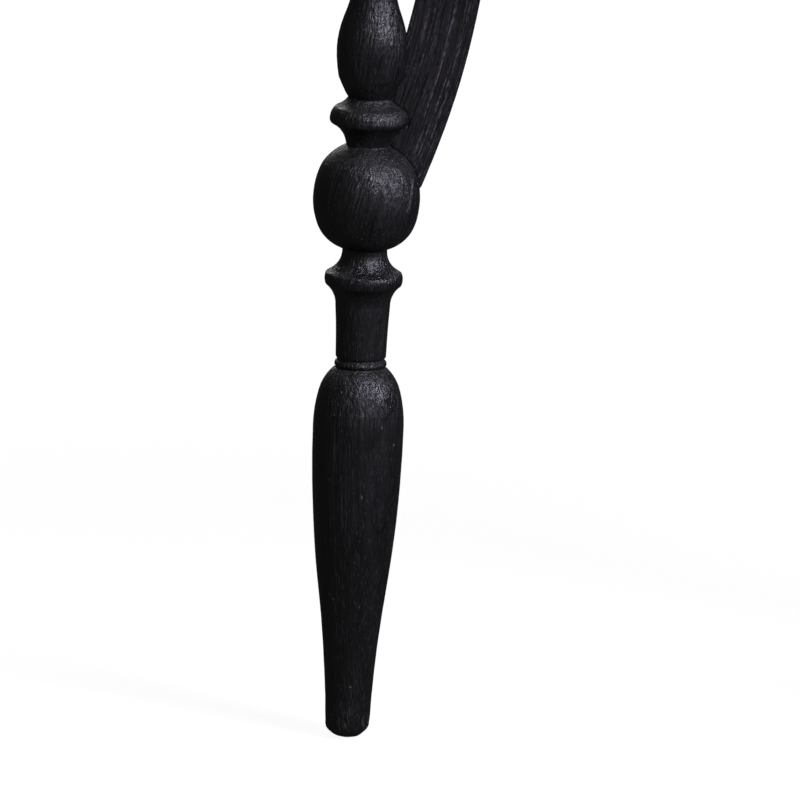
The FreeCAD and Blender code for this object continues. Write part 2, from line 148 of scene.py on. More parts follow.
def record_edges(mesh, soft=3):
    """Stores how far each point stands out (arris) or lies in a corner (hollow), from 0 to 1."""
    points, normals, edges = points_of(mesh), normals_of(mesh), edges_of(mesh)
    a, b = edges.T
    reach = points[b] - points[a]
    length = np.maximum(np.linalg.norm(reach, axis=1), 1e-9)
    bend_a = -(reach * normals[a]).sum(1) / length**2
    bend_b = (reach * normals[b]).sum(1) / length**2
    count = np.bincount(a, minlength=len(points)) + np.bincount(b, minlength=len(points))
    bend = np.bincount(a, bend_a, len(points)) + np.bincount(b, bend_b, len(points))
    bend = spread_over(bend / np.maximum(count, 1) * MM, edges, soft)
    keep_value(mesh, "arris", np.clip((bend - ARRIS_FROM) / ARRIS_RANGE, 0, 1))
    keep_value(mesh, "hollow", np.clip((-bend - HOLLOW_FROM) / HOLLOW_RANGE, 0, 1))


def shade_smooth(mesh):
    """Lets the surface look curved across its faces."""
    mesh.polygons.foreach_set("use_smooth", np.ones(len(mesh.polygons), bool))


# --- the turned legs ----------------------------------------------------------------------------

# Columns of points around a leg, the closer ones at the drying check, and half the latter's angle.
AROUND = 144
CHECK_COLUMNS = 30
CHECK_ANGLE = 0.16

# The leg's ball, its head under the rest and its tenon, in mm.
BALL_RADIUS = 10.5
HEAD_RADIUS = 5.6
TENON_RADIUS = 3.2
SHOULDER = 180.7
TENON_TOP = 199.0

# A ring of the CAD leg has at least this many points.
RING_POINTS = 8

# How finely the outline is sampled, and the least and most between its rows of points, in mm.
SAMPLE = 0.04
ROW_LEAST = 0.16
ROW_MOST = 0.55
ROW_AT_BENDS = 0.09


def turned_outline(side):
    """The leg's outline as (height, radius) rows, read from the rings of points of its CAD node."""
    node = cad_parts[side + "_leg"]
    local = moved(points_of(node.data), stand_of(side).inverted()) / MM
    rings = np.round(np.column_stack([local[:, 2], np.hypot(local[:, 0], local[:, 1])]), 2)
    rings, count = np.unique(rings, axis=0, return_counts=True)
    return rings[count >= RING_POINTS]


def even_outline(rows):
    """The outline with its arrises slightly eased and with closer rows where it bends."""
    rows = np.vstack([[0, 0], rows[(rows[:, 0] > 0.5) & (rows[:, 0] < 180)]])
    shoulder = [[SHOULDER, HEAD_RADIUS], [SHOULDER, TENON_RADIUS]]
    rows = np.vstack([rows, shoulder, [TENON_TOP, TENON_RADIUS], [TENON_TOP, 0.0]])
    along = np.concatenate([[0], np.cumsum(np.hypot(*np.diff(rows, axis=0).T))])
    fine = np.arange(0, along[-1], SAMPLE)
    shape = np.column_stack([np.interp(fine, along, column) for column in rows.T])
    width = 2
    reach = 3 * width
    weights = np.exp(-0.5 * (np.arange(-reach, reach + 1) / width) ** 2)
    weights /= weights.sum()
    eased = []
    for column in shape.T:
        start = 2 * column[0] - column[reach:0:-1]
        end = 2 * column[-1] - column[-2:-reach - 2:-1]
        eased.append(np.convolve(np.concatenate([start, column, end]), weights, "valid"))
    shape = np.column_stack(eased)
    shape[:, 1] = np.maximum(shape[:, 1], 0)
    way = np.diff(shape, axis=0)
    heading = np.unwrap(np.arctan2(way[:, 0], way[:, 1]))
    bend = np.abs(np.gradient(heading, SAMPLE))
    step = np.clip(ROW_AT_BENDS / np.sqrt(np.maximum(bend, 1e-3)), ROW_LEAST, ROW_MOST)
    steps = np.concatenate([[0], np.cumsum(SAMPLE / step)])
    wanted = np.linspace(0, steps[-1], int(steps[-1]) + 1)
    return np.column_stack([np.interp(wanted, steps, column) for column in shape.T])


# The waves of an unsteady tool: how many around the leg, their pitch along it and depth, in mm.
TOOL_WAVES = ((2, 61.0, 0.035), (3, 37.0, 0.02), (5, 19.0, 0.012), (0, 7.3, 0.018))
TOOL_RINGS_PITCH = 1.15
TOOL_RINGS_DEPTH = 0.006


def hand_turning(height, angle, seed):
    """How far a hand-held tool left the surface below the true outline, in mm."""
    rng = np.random.default_rng(seed)
    depth = np.zeros(np.broadcast(height, angle).shape)
    climb = 2 * np.pi * height
    for waves, pitch, amount in TOOL_WAVES:
        start = rng.uniform(0, 2 * np.pi, 2)
        depth += amount * (1 - np.cos(waves * angle + start[0]) * np.cos(climb / pitch + start[1]))
    sway = 0.8 * np.sin(climb / 9.0 + rng.uniform(0, 6))
    depth += TOOL_RINGS_DEPTH * (1 + np.sin(climb / TOOL_RINGS_PITCH + sway))
    level = 0.11 * np.clip((height - 6) / 4, 0, 1) * np.clip((165 - height) / 4, 0, 1)
    return depth - level


def around_from(angle, at_angle, radius):
    """How far round the leg a place lies from that angle, in mm."""
    return (np.mod(angle - at_angle + np.pi, 2 * np.pi) - np.pi) * radius


def knocks(height, angle, radius, seed, count=26):
    """Small dents and rubbed places of long use, in mm: a third of them lie on the foot."""
    rng = np.random.default_rng(seed)
    depth = np.zeros(np.broadcast(height, angle).shape)
    on_foot = count // 3
    at_foot = rng.uniform(1, 12, on_foot)
    higher = rng.uniform(12, 160, count - on_foot)
    for at_height in np.concatenate([at_foot, higher]):
        at_angle = rng.uniform(0, 2 * np.pi)
        tall, wide = rng.uniform(0.5, 2.2), rng.uniform(0.4, 1.1)
        deep = rng.uniform(0.03, 0.11)
        around = around_from(angle, at_angle, radius)
        depth += deep * np.exp(-(((height - at_height) / tall) ** 2) - (around / wide) ** 2)
    return depth


def foot_chips(height, angle, radius, seed, count=9):
    """Chips broken from the worn rim of the foot, in mm."""
    rng = np.random.default_rng(seed)
    depth = np.zeros(np.broadcast(height, angle).shape)
    for _ in range(count):
        at_angle, at_height = rng.uniform(0, 2 * np.pi), rng.uniform(1.0, 3.6)
        wide, tall = rng.uniform(0.35, 0.9), rng.uniform(0.3, 0.9)
        around = around_from(angle, at_angle, radius)
        fall = ((height - at_height) / tall) ** 2 + (around / wide) ** 2
        depth += rng.uniform(0.12, 0.3) * np.clip(1 - fall, 0, 1) ** 0.7
    return depth


def wandering(height, leans):
    """How far the grain has wandered sideways by that height, in mm, from (height, slope) rows."""
    levels = np.arange(0.0, 201.0)
    slopes = np.interp(levels, *zip(*leans))
    return np.interp(height, levels, np.cumsum(slopes))


# The grain's slope across the billet at some heights, as (height in mm, slope).
LEG_GRAIN = {
    "left": (
        (0, -0.12), (25, -0.04), (70, -0.02), (98, 0.20), (120, 0.23), (150, 0.15), (199, 0.10),
    ),
    "front_right": ((0, 0.05), (80, 0.02), (120, -0.08), (199, -0.05)),
    "rear_right": ((0, -0.03), (60, 0.06), (140, 0.10), (199, 0.02)),
}
BRACE_GRAIN = ((0, 0.42), (110, 0.38), (132, 0.30), (150, 0.17), (170, 0.11), (199, 0.10))

# Where one wide pale fibre runs up each brace, across its grain, in mm.
PALE_STREAK = {"left": -39.75, "front_right": -43.0, "rear_right": -37.5}


# A drying check in each ball: its ends as (across, height) in mm, and the leg's front or back.
CHECKS = {
    "left": ((0.45, 102.9), (2.75, 113.9), -1),
    "front_right": ((-1.5, 106.0), (-2.3, 114.5), 1),
    "rear_right": ((2.2, 103.5), (3.1, 110.0), -1),
}


def foot_wear(height, angle):
    """How the foot has worn, in mm: still full at its outer side, rubbed away at its inner side."""
    outer = 0.5 - 0.5 * np.cos(angle)
    full = 0.10 * outer * np.exp(-(((height - 1.8) / 1.2) ** 2)) * (height > 0.8)
    spread = 0.14 * np.exp(-(((height - 5.0) / 2.6) ** 2))
    rubbed = 0.14 * (1 - outer) * np.exp(-(((height - 1.6) / 1.0) ** 2))
    return rubbed - full - spread


def columns_around(check):
    """The angles of the leg's columns of points, which stand closer at the ball's drying check."""
    (low_across, _), (high_across, _), front = check
    middle = math.atan2(front, (low_across + high_across) / 2 / BALL_RADIUS)
    even = np.linspace(0, 2 * np.pi, AROUND, endpoint=False)
    close = middle + np.linspace(-CHECK_ANGLE, CHECK_ANGLE, CHECK_COLUMNS)
    away = np.abs(around_from(even, middle, 1)) > CHECK_ANGLE + 0.01
    return np.sort(np.mod(np.concatenate([even[away], close]), 2 * np.pi))


# Pale scratches: their ends as (across, height) in mm, and the leg's front or back.
SCRATCHES = {
    "left": (
        ((8.1, 108.9), (9.0, 115.4), -1),
        ((0.8, 50.9), (1.3, 51.7), -1),
        ((-4.6, 86.0), (-4.2, 88.5), 1),
    ),
    "front_right": (((-4.0, 60.5), (-3.2, 66.0), 1), ((6.0, 106.0), (6.6, 109.5), 1)),
    "rear_right": (((2.5, 53.0), (3.1, 57.5), -1), ((-5.0, 132.0), (-4.6, 135.5), 1)),
}

SCRATCH_HALF_WIDTH = 0.48

# Lines cut with the skew's point: height, half width and depth, in mm.
CUT_LINES = (
    (77.75, 0.32, 0.24),
    (76.05, 0.28, 0.16),
    (121.05, 0.30, 0.10),
    (130.75, 0.30, 0.12),
    (100.15, 0.3, 0.08),
)


def cut_lines(height):
    """The crisp lines where one turned shape meets the next, in mm."""
    lines = (deep * np.clip(1 - np.abs(height - at) / half, 0, 1) for at, half, deep in CUT_LINES)
    return sum(lines)


def drying_check(height, angle, radius, side):
    """The narrow crack along the grain that opened in the ball as the wood dried, in mm."""
    (low_across, low), (high_across, high), front = CHECKS[side]
    share = (height - low) / (high - low)
    line = low_across + (high_across - low_across) * share
    line = line + 0.07 * np.sin(height * 3.1) + 0.05 * np.sin(height * 7.7)
    across = radius * np.cos(angle)
    faced = np.sin(angle) * front > 0.5
    width = 0.10 * np.sin(np.pi * np.clip(share, 0, 1)) ** 0.5 * (1.4 - 0.9 * share) + 1e-6
    inside = np.clip(1 - np.abs(across - line) / (1.6 * width), 0, 1)
    return (0.42 - 0.32 * np.clip(share, 0, 1)) * inside * faced * (share > 0) * (share < 1)


def scratched(height, angle, radius, side):
    """Where the pale scratches of use run on the leg, from 0 to 1."""
    marks = np.zeros(np.broadcast(height, angle).shape)
    for (low_across, low), (high_across, high), front in SCRATCHES[side]:
        share = (height - low) / (high - low)
        line = low_across + (high_across - low_across) * share + 0.15 * np.sin(np.pi * share)
        half_width = SCRATCH_HALF_WIDTH * np.maximum(np.abs(np.sin(angle)), 0.4)
        away = np.abs(radius * np.cos(angle) - line) / half_width
        faced = np.sin(angle) * front > 0.1
        marks += np.clip(1 - away, 0, 1) * faced * (share > 0) * (share < 1)
    return np.clip(marks, 0, 1)


# The tool's marks end below the rest. The tenon is pared a hair below the saddle. In mm.
MARKS_TOP = 176
PARED_FROM = 185
PARED_BELOW = 0.03


def turned_leg(side, seed):
    """One leg, turned from its outline, marked by tool and use, level with floor and saddle."""
    outline = even_outline(turned_outline(side))
    height = outline[1:-1, 0][:, None]
    radius = outline[1:-1, 1][:, None]
    angle = columns_around(CHECKS[side])[None, :]
    around = angle.shape[1]
    worked = np.clip(radius / 3.0, 0, 1) * (height < MARKS_TOP)
    depth = hand_turning(height, angle, seed) + knocks(height, angle, radius, seed + 1)
    depth += foot_chips(height, angle, radius, seed + 2) * (height > 0.7)
    depth += drying_check(height, angle, radius, side) + cut_lines(height)
    depth += foot_wear(height, angle) if side == "left" else 0
    true_radius = np.maximum(radius - depth * worked, 0.05)
    heights = np.broadcast_to(height, true_radius.shape)
    local = np.stack([true_radius * np.cos(angle), true_radius * np.sin(angle), heights], -1)
    local = local.reshape(-1, 3)
    local = np.vstack([local, [[0, 0, outline[0, 0]], [0, 0, outline[-1, 0]]]]) * MM
    rings = len(height)
    low = np.arange(rings - 1)[:, None] * around
    here = np.arange(around)[None, :]
    after = (here + 1) % around
    high = low + around
    quads = np.stack([low + here, low + after, high + after, high + here], -1)
    tip, tail = rings * around, rings * around + 1
    last = (rings - 1) * around
    faces = quads.reshape(-1, 4).tolist()
    faces += [(tip, (i + 1) % around, i) for i in range(around)]
    faces += [(tail, last + i, last + (i + 1) % around) for i in range(around)]
    world = moved(local, stand_of(side))
    world[:, 2] = np.maximum(world[:, 2], 0)
    saddle = saddle_height(world[:, 0]) - PARED_BELOW * MM
    world[:, 2] = np.minimum(world[:, 2], np.where(local[:, 2] > PARED_FROM * MM, saddle, 1))
    leg = new_piece(side + "_turned_leg", world, faces)
    shade_smooth(leg.data)
    billet = local.copy()
    billet[:, 0] -= wandering(local[:, 2] / MM, LEG_GRAIN[side]) * MM
    keep_value(leg.data, "billet", billet + LEG_BILLET * MM)
    streak = np.append(scratched(height, angle, radius, side).ravel(), [0, 0])
    keep_value(leg.data, "streak", streak)
    record_edges(leg.data)
    return leg


# --- the sawn and carved pieces -----------------------------------------------------------------


def worked_copy(node_name, name, grain_size, smoothing):
    """A close, even mesh of a CAD node with its arrises eased, to be worked on further."""
    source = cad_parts[node_name]
    mesh = source.data.copy()
    mesh.name = name
    mesh.materials.clear()
    piece = bpy.data.objects.new(name, mesh)
    bpy.context.collection.objects.link(piece)
    seams = bmesh.new()
    seams.from_mesh(mesh)
    bmesh.ops.remove_doubles(seams, verts=seams.verts, dist=0.001 * MM)
    seams.to_mesh(mesh)
    seams.free()
    remesh = piece.modifiers.new("even", "REMESH")
    remesh.mode = "VOXEL"
    remesh.voxel_size = grain_size
    ease = piece.modifiers.new("ease", "SMOOTH")
    ease.factor = 0.5
    ease.iterations = smoothing
    depsgraph = bpy.context.evaluated_depsgraph_get()
    made = bpy.data.meshes.new_from_object(piece.evaluated_get(depsgraph))
    piece.modifiers.clear()
    piece.data = made
    made.name = name
    bpy.data.meshes.remove(mesh)
    shade_smooth(made)
    return piece


def ripple(points, seed, sizes, waves=5):
    """A smooth random height, in mm. Sizes are rows of ((wavelengths along X, Y and Z), amount)."""
    rng = np.random.default_rng(seed)
    depth = np.zeros(len(points))
    for lengths, amount in sizes:
        for _ in range(waves):
            way = rng.normal(size=3)
            way /= np.linalg.norm(way)
            turns = way * 2 * np.pi / np.array(lengths)
            phase = points / MM @ turns + rng.uniform(0, 2 * np.pi)
            depth += amount / waves * (1 + np.sin(phase))
    return depth


# How far a brace's scribed edge may be from the leg and still be drawn to it, and by how much.
SCRIBE_REACH = 0.45 * MM
SCRIBE_OVERLAP = 0.2 * MM
SCRIBE_PULL = 0.35 * MM
SCRIBE_TOP = 160 * MM


def close_to_leg(mesh, side):
    """Brings a brace's scribed edge against the leg, where glue and stain filled the joint."""
    stand = stand_of(side)
    local = moved(points_of(mesh), stand.inverted())
    rows = turned_outline(side)
    rows = rows[np.argsort(rows[:, 0], kind="stable")]
    reach = np.hypot(local[:, 0], local[:, 1])
    leg = np.interp(local[:, 2] / MM, rows[:, 0], rows[:, 1]) * MM
    gap = reach - leg
    near = (gap < SCRIBE_REACH) & (gap > -SCRIBE_OVERLAP) & (local[:, 2] < SCRIBE_TOP)
    pull = np.where(near, np.clip(SCRIBE_REACH - gap, 0, SCRIBE_PULL), 0)
    share = (reach - pull) / np.maximum(reach, 1e-6)
    local[:, 0] *= share
    local[:, 1] *= share
    put_points(mesh, moved(local, stand))


# Where the brace shows between the ball and the rest, in mm up the leg.
BRACE_FROM = 110
BRACE_TO = 176


def sawn_brace(side, seed):
    """One brace: faces left a little uneven by saw and spokeshave, and arrises rubbed round."""
    piece = worked_copy(side + "_brace", side + "_sawn_brace", 0.2 * MM, 2)
    mesh = piece.data
    world = points_of(mesh)
    local = moved(world, stand_of(side).inverted())
    depth = ripple(local, seed, (((9, 30, 22), 0.05), ((2.2, 9, 14), 0.018))) - 0.05
    height = local[:, 2] / MM
    shown = np.clip((height - BRACE_FROM) / 4, 0, 1) * np.clip((BRACE_TO - height) / 3, 0, 1)
    world -= normals_of(mesh) * (depth * shown * MM)[:, None]
    put_points(mesh, world)
    close_to_leg(mesh, side)
    billet = local.copy()
    billet[:, 0] -= wandering(height, BRACE_GRAIN) * MM
    streak = 0.7 * np.exp(-(((billet[:, 0] / MM - PALE_STREAK[side]) / 0.30) ** 2))
    keep_value(mesh, "streak", streak * np.clip((height - 122) / 25, 0, 1))
    keep_value(mesh, "billet", billet + BRACE_BILLET * MM)
    record_edges(mesh, 4)
    return piece


# Each leg's two joints in the rest: how far out from its axis, and the room left there, in mm.
REST_JOINTS = ((0, 8), (17, 7))
JOINT_LEVEL = 178

# How far the neck's hollow has worn along and across the rest, and how deep, in mm.
WORN_ALONG = 45
WORN_ACROSS = 26
WORN_DEPTH = 0.4


def carved_rest(seed):
    """The rest: adzed below and at its sides, and worn smooth and dished where the neck lies."""
    piece = worked_copy("neck_rest", "carved_rest", 0.62 * MM, 4)
    mesh = piece.data
    world = points_of(mesh)
    normals = normals_of(mesh)
    upward = np.clip(normals[:, 2], 0, 1)
    tooled = ripple(world, seed, (((16, 16, 16), 0.16), ((6, 7, 7), 0.05)))
    along = np.exp(-((world[:, 0] / (WORN_ALONG * MM)) ** 2))
    across = np.clip(1 - (world[:, 1] / (WORN_ACROSS * MM)) ** 2, 0, 1)
    worn = along * across * WORN_DEPTH
    depth = tooled * (1 - 0.75 * upward) + worn * upward
    near_joint = np.ones(len(world))
    for side in SIDES:
        for out, room in REST_JOINTS:
            joint = moved(np.array([[out, 0, JOINT_LEVEL]]) * MM, stand_of(side))[0]
            away = np.linalg.norm((world - joint)[:, :2], axis=1) / (room * MM)
            near_joint = np.minimum(near_joint, np.clip(away - 0.6, 0, 1))
    world -= normals * (depth * near_joint * MM)[:, None]
    put_points(mesh, world)
    keep_value(mesh, "billet", world[:, [1, 2, 0]] + REST_BILLET * MM)
    record_edges(mesh, 4)
    return piece


# The peg's shape, as (share of its length, share of its radius), and its facets.
PEG_SHAPE = (
    (0.02, 0.55), (0.05, 0.86), (0.1, 1.0), (0.84, 1.0), (0.92, 0.93), (0.97, 0.72), (1.0, 0.4),
)
PEG_FACETS = 7
PEG_AROUND = 28


def drawn_peg(side):
    """The peg behind the ball: a whittled, slightly faceted stick with a rubbed, domed end."""
    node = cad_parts[side + "_brace_peg"]
    inverse = stand_of(side).inverted()
    local = moved(points_of(node.data), inverse)
    low, high = local.min(0), local.max(0)
    centre = (low + high) / 2
    radius = (high[0] - low[0]) / 2
    around = PEG_AROUND
    angle = np.linspace(0, 2 * np.pi, around, endpoint=False)
    facets = 1 - 0.035 * (1 + np.cos(PEG_FACETS * angle))
    rings = []
    for share, width in PEG_SHAPE:
        y = low[1] + share * (high[1] - low[1])
        rings.append(np.column_stack([
            centre[0] + radius * width * facets * np.cos(angle),
            np.full(around, y),
            centre[2] + radius * width * facets * np.sin(angle),
        ]))
    count = len(rings)
    tip = [[centre[0], low[1], centre[2]]]
    tail = [[centre[0], high[1], centre[2]]]
    points = np.vstack(rings + [tip, tail])
    faces = []
    for ring in range(count - 1):
        here, after = ring * around, (ring + 1) * around
        for i in range(around):
            j = (i + 1) % around
            faces.append((here + j, here + i, after + i, after + j))
    last = (count - 1) * around
    faces += [(count * around, i, (i + 1) % around) for i in range(around)]
    faces += [(count * around + 1, last + (i + 1) % around, last + i) for i in range(around)]
    peg = new_piece(side + "_drawn_peg", moved(points, stand_of(side)), faces)
    shade_smooth(peg.data)
    keep_value(peg.data, "billet", points[:, [0, 2, 1]])
    record_edges(peg.data, 1)
    return peg


def split_wedge(side, wedge, seed):
    """A wedge split from a stick and pared off level with the saddle."""
    piece = worked_copy(side + wedge, side + "_split" + wedge, 0.16 * MM, 1)
    mesh = piece.data
    world = points_of(mesh)
    local = moved(world, stand_of(side).inverted())
    depth = ripple(local, seed, (((1.4, 1.4, 9), 0.05),))
    put_points(mesh, world - normals_of(mesh) * (depth * MM)[:, None])
    keep_value(mesh, "billet", local + np.array([3, 5, seed]) * MM)
    record_edges(mesh, 2)
    return piece


# --- finishes -----------------------------------------------------------------------------------


class Mark:
    """A value that varies over a surface: one socket of a finish, with Python's arithmetic."""

    def __init__(self, finish, socket):
        self.finish = finish
        self.socket = socket

    def __add__(self, other):
        return self.finish.maths("ADD", self, other)

    def __sub__(self, other):
        return self.finish.maths("SUBTRACT", self, other)

    def __rsub__(self, other):
        return self.finish.maths("SUBTRACT", other, self)

    def __mul__(self, other):
        return self.finish.maths("MULTIPLY", self, other)

    __radd__ = __add__
    __rmul__ = __mul__

    def above(self, start, end):
        """0 below start, 1 above end, and a soft step between them."""
        settings = {"interpolation_type": "SMOOTHSTEP"}
        return self.finish.node("ShaderNodeMapRange", settings, {0: self, 1: start, 2: end})

    def below(self, start, end):
        """1 below start and 0 above end."""
        return 1 - self.above(start, end)

    def between(self, start, end, low, high):
        """Low at start and high at end, in a straight line between them."""
        inputs = {0: self, 1: start, 2: end, 3: low, 4: high}
        return self.finish.node("ShaderNodeMapRange", None, inputs)


class Finish:
    """The nodes of a material or of the room's light, under construction."""

    def __init__(self, owner, output="ShaderNodeOutputMaterial"):
        owner.use_nodes = True
        self.owner = owner
        self.output = output
        self.tree = owner.node_tree
        self.tree.nodes.clear()

    def finished(self, shader):
        """Closes the finish with its shader and hands over what it was made for."""
        output = self.tree.nodes.new(self.output)
        self.tree.links.new(shader.socket, output.inputs["Surface"])
        return self.owner

    def node(self, kind, settings=None, inputs=None, out=0):
        """Adds a node of that kind with its settings and its sockets' values or links."""
        made = self.tree.nodes.new(kind)
        for name, value in (settings or {}).items():
            setattr(made, name, value)
        for name, value in (inputs or {}).items():
            if isinstance(value, Mark):
                self.tree.links.new(value.socket, made.inputs[name])
            else:
                made.inputs[name].default_value = value
        return Mark(self, made.outputs[out])

    def maths(self, operation, first, second):
        """A sum on two values."""
        return self.node("ShaderNodeMath", {"operation": operation}, {0: first, 1: second})

    def stretched(self, place, along_x, along_y, along_z):
        """The place with each direction's detail at that many per millimetre."""
        scale = [s / MM for s in (along_x, along_y, along_z)]
        return self.node("ShaderNodeVectorMath", {"operation": "MULTIPLY"}, {0: place, 1: scale})

    def stored(self, name, out="Fac"):
        """A value or a place that was stored at each point of the mesh."""
        return self.node("ShaderNodeAttribute", {"attribute_name": name}, out=out)

    def rise_of(self, vector):
        """How far a place or a direction reaches up."""
        return self.node("ShaderNodeSeparateXYZ", None, {0: vector}, out="Z")

    def noise(self, place, detail=2.0, roughness=0.5):
        """A cloudy value between 0 and 1, mostly near 0.5."""
        inputs = {"Vector": place, "Scale": 1.0, "Detail": detail, "Roughness": roughness}
        return self.node("ShaderNodeTexNoise", {"normalize": True}, inputs)

    def tint(self, share, first, second):
        """The first colour, turning into the second where the share is 1."""
        inputs = {0: share, 6: first, 7: second}
        return self.node("ShaderNodeMix", {"data_type": "RGBA"}, inputs, out=2)


def colour(red, green, blue):
    """A solid colour in linear light."""
    return (red, green, blue, 1.0)


# The thin stains are pairs, cool and warm, which the wood drifts between.
BLACK_STAIN = colour(0.0014, 0.0013, 0.0016)
DRY_STAIN = colour(0.006, 0.005, 0.0045)
THIN_STAIN = colour(0.0060, 0.0050, 0.0074), colour(0.0090, 0.0056, 0.0052)
BRACE_STAIN = colour(0.0058, 0.0052, 0.0070), colour(0.0080, 0.0054, 0.0058)
BARE_BROWN = colour(0.036, 0.021, 0.014)
# Grey of dust in hollows, also laid on upward faces as dust and painted light from above.
GREY_DUST_AND_TOP_LIGHT = colour(0.018, 0.0165, 0.014)
PALE_FIBRE = colour(0.105, 0.094, 0.110)
TORN_FIBRE = colour(0.055, 0.050, 0.053)
PALE_SPECK = colour(0.10, 0.09, 0.085)
PORE_DARK = colour(0.0012, 0.0012, 0.0014)


def torn_foot(wood, place, up, base):
    """The foot's colour where its end grain has torn and the stain has gone."""
    torn = wood.noise(wood.stretched(place, 2.0, 2.0, 0.6), detail=3, roughness=0.7)
    torn = torn.above(0.50, 0.62)
    bare = wood.noise(wood.stretched(place, 0.5, 0.5, 0.5), detail=2).above(0.50, 0.62)
    base = wood.tint(up.below(2.5 * MM, 9.0 * MM) * torn * 0.8, base, TORN_FIBRE)
    return wood.tint(up.below(1.6 * MM, 4.2 * MM) * torn * bare * 0.8, base, BARE_BROWN)


# The tenons' end grain drinks the finish, which turns dull between these heights on the leg.
END_GRAIN = (184 * MM, 190 * MM)


def stained_wood(name, satin=0.44, furrows=1.9, crackle=0.65, rubbed=1.0, shine=0.5, top_dust_and_light=0.3,
                 dark=BLACK_STAIN, thin=THIN_STAIN, fibres=0.0, foot=False):
    """Open-grained wood, stained black, with a satin skin that has crackled as it dried.

    Satin is the skin's roughness and shine its reflection. Furrows and crackle set how deep the
    grain and the skin's cracks are. Rubbed, top_dust_and_light and fibres set how much bare wood,
    grey on upward faces and raised pale fibre show. The grey on upward faces is partly dust and
    partly painted light from above.
    """
    wood = Finish(bpy.data.materials.new(name))
    place = wood.stored("billet", out="Vector")
    arris = wood.stored("arris")
    hollow = wood.stored("hollow")
    streak = wood.stored("streak")
    up = wood.rise_of(place)
    upward = wood.rise_of(wood.node("ShaderNodeNewGeometry", out="Normal"))

    # the grain and the marks in the skin
    drift = wood.noise(wood.stretched(place, 0.06, 0.06, 0.02), detail=3)
    streaks = wood.noise(wood.stretched(place, 0.95, 0.95, 0.035), detail=3, roughness=0.6)
    fine = wood.noise(wood.stretched(place, 2.5, 2.5, 0.10), detail=2, roughness=0.6)
    pores = wood.noise(wood.stretched(place, 2.2, 2.2, 0.14), detail=1).above(0.60, 0.70)
    blotch = wood.noise(wood.stretched(place, 0.25, 0.25, 0.12), detail=3)
    skin = wood.noise(wood.stretched(place, 2.4, 2.4, 0.9), detail=2, roughness=0.65)
    warmth = wood.noise(wood.stretched(place, 0.30, 0.30, 0.05), detail=2).above(0.40, 0.62)
    spots = {"Vector": place, "Scale": 0.21 / MM}
    specks = wood.node("ShaderNodeTexVoronoi", None, spots, out="Distance").below(0.04, 0.07)
    flecks = wood.noise(wood.stretched(place, 2.8, 2.8, 0.7), detail=2).above(0.58, 0.70)
    scuffs = wood.noise(wood.stretched(place, 0.8, 0.8, 0.35), detail=5, roughness=0.7)
    scuffs = scuffs.above(0.62, 0.76)
    broken = wood.noise(wood.stretched(place, 3.6, 3.6, 0.9), detail=1).above(0.40, 0.60)
    long = wood.noise(wood.stretched(place, 2.6, 2.6, 0.045), detail=2, roughness=0.6)
    long = long.above(0.48, 0.64)

    # the colour, from the stain up to what lies on it
    pale = streaks.above(0.48, 0.60) * 0.7 + fine.above(0.48, 0.66) * 0.5
    pale = pale * drift.above(0.30, 0.62)
    cool_thin, warm_thin = thin
    base = wood.tint(pale, dark, wood.tint(warmth, cool_thin, warm_thin))
    base = wood.tint(scuffs * blotch.above(0.45, 0.62) * 0.4, base, BARE_BROWN)
    base = wood.tint(flecks * 0.30, base, TORN_FIBRE)
    lifted = long * (0.15 + broken) * fibres + streak * (0.3 + broken) * 1.5
    base = wood.tint(lifted.above(0.0, 1.5), base, PALE_FIBRE)
    if foot:
        base = torn_foot(wood, place, up, base)
    worn = arris * (0.35 + scuffs) * rubbed
    base = wood.tint(worn.above(0.15, 0.9) * 0.6, base, BARE_BROWN)
    # Grey in hollows is dust. The paler grey on upward faces is partly dust and partly painted
    # light from above.
    dust_and_top_light = (hollow * 0.4 + upward.above(0.35, 0.85) * top_dust_and_light) * blotch.above(0.30, 0.65)
    base = wood.tint(dust_and_top_light, base, GREY_DUST_AND_TOP_LIGHT)
    base = wood.tint(pores * 0.85, base, PORE_DARK)
    base = wood.tint(specks * 0.9, base, PALE_SPECK)

    # the gloss
    roughness = satin + (blotch - 0.5) * 0.42 + (fine - 0.5) * 0.25 + pores * 0.20
    roughness = roughness + dust_and_top_light * 0.20 + up.above(*END_GRAIN) * 0.30 - worn * 0.08

    # the relief, in mm
    relief = streaks * (0.20 * furrows) + fine * (0.12 * furrows)
    relief = relief - pores * (0.05 * furrows) + skin * (0.15 * crackle)
    surface = {
        "Base Color": base,
        "Roughness": roughness,
        "Normal": wood.node("ShaderNodeBump", None, {"Distance": MM, "Height": relief}),
        "IOR": 1.5,
        "Specular IOR Level": shine,
    }
    return wood.finished(wood.node("ShaderNodeBsdfPrincipled", None, surface))


def pale_floor():
    """A plain matt pale ground, a little bright by itself so that shadows on it stay faint."""
    ground = Finish(bpy.data.materials.new("pale_floor"))
    surface = {
        "Base Color": colour(0.13, 0.13, 0.132),
        "Roughness": 0.9,
        "Specular IOR Level": 0.0,
        "Emission Color": colour(1.0, 1.0, 1.0),
        "Emission Strength": 0.92,
    }
    return ground.finished(ground.node("ShaderNodeBsdfPrincipled", None, surface))


# --- assembly -----------------------------------------------------------------------------------


def fit(piece, material, node):
    """Gives a piece its finish and lets it stand for its CAD node."""
    piece.data.materials.clear()
    piece.data.materials.append(material)
    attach(piece, "root")
    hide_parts(node)


leg_wood = stained_wood("leg_stained_wood", foot=True)
brace_wood = stained_wood(
    "brace_stained_wood", satin=0.50, furrows=2.5, rubbed=0.8, thin=BRACE_STAIN, fibres=0.72
)
rest_wood = stained_wood(
    "rest_stained_wood", satin=0.62, furrows=1.8, crackle=0.4, rubbed=1.5, shine=0.32,
    thin=BRACE_STAIN, fibres=0.25,
)
peg_wood = stained_wood("peg_stained_wood", satin=0.66, shine=0.3, dark=DRY_STAIN)

LEG_SEED, BRACE_SEED, REST_SEED, WEDGE_SEED = 100, 200, 300, 400

